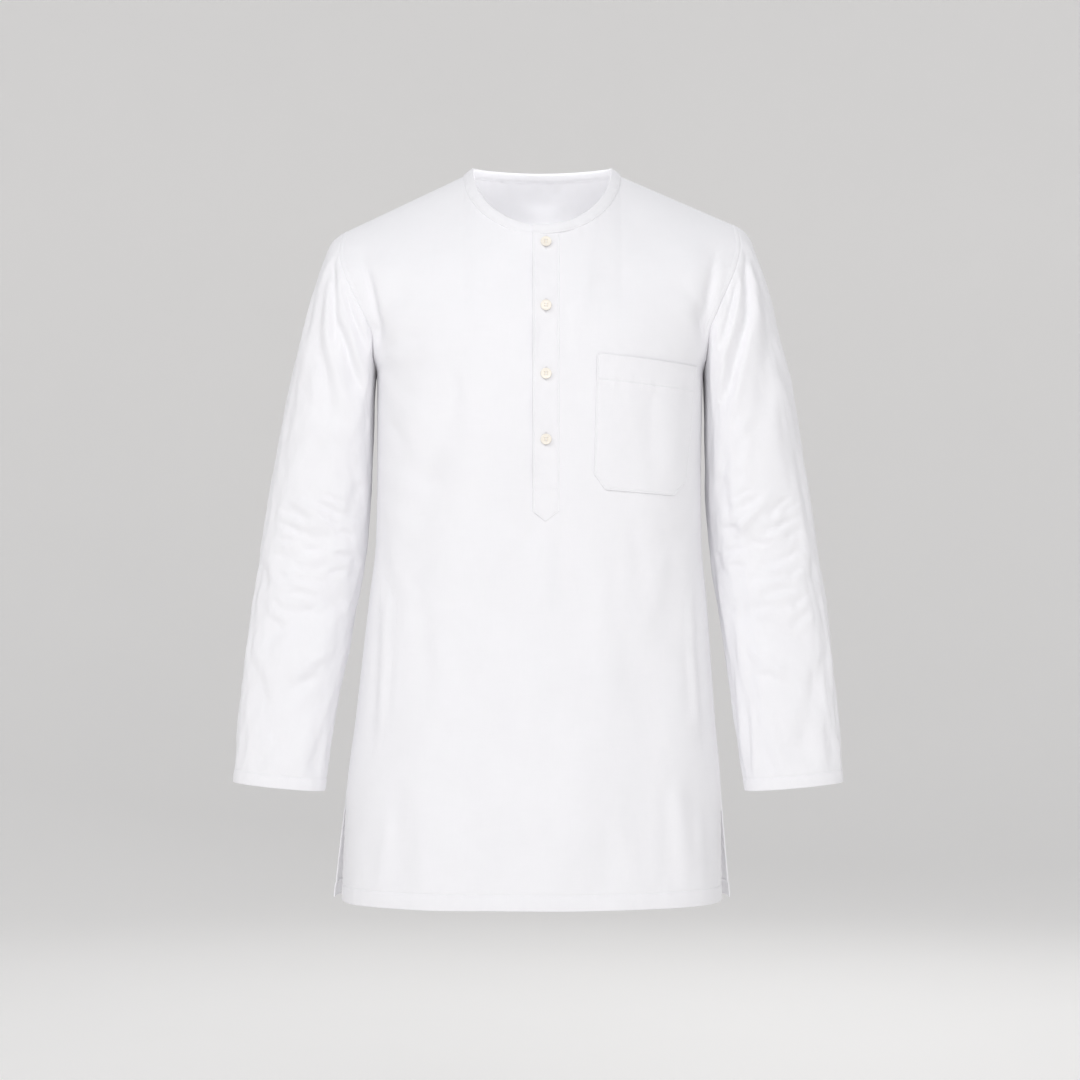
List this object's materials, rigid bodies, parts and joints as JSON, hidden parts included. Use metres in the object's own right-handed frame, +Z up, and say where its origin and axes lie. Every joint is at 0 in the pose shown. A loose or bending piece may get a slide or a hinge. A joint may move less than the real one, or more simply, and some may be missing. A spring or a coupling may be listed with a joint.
{
  "type": "kurta tunic",
  "caption": "Long-sleeved collarless cotton kurta tunic, filled out as worn with no wearer, with a buttoned half placket, chest pocket and side slits.",
  "frame": {"origin": "midway between the two high shoulder points, where the wearer's shoulders hold the tunic up, at their height", "axes": "+Z up, the front faces -Y, and the wearer's left is +X"},
  "size_m": [0.707, 0.2713, 0.8526],
  "materials": {
    "cotton": "white plain-woven cotton, matt",
    "button": "cream, soft gloss"
  },
  "bodies": {
    "root": {"front": "cotton", "back": "cotton", "sleeve_right": "cotton", "sleeve_left": "cotton", "neckband": "cotton", "placket": "cotton", "placket_under": "cotton", "pocket": "cotton", "side_pocket_right": "cotton", "side_pocket_left": "cotton", "button_1": "button", "button_2": "button", "button_3": "button", "button_4": "button"}
  },
  "joints": []
}
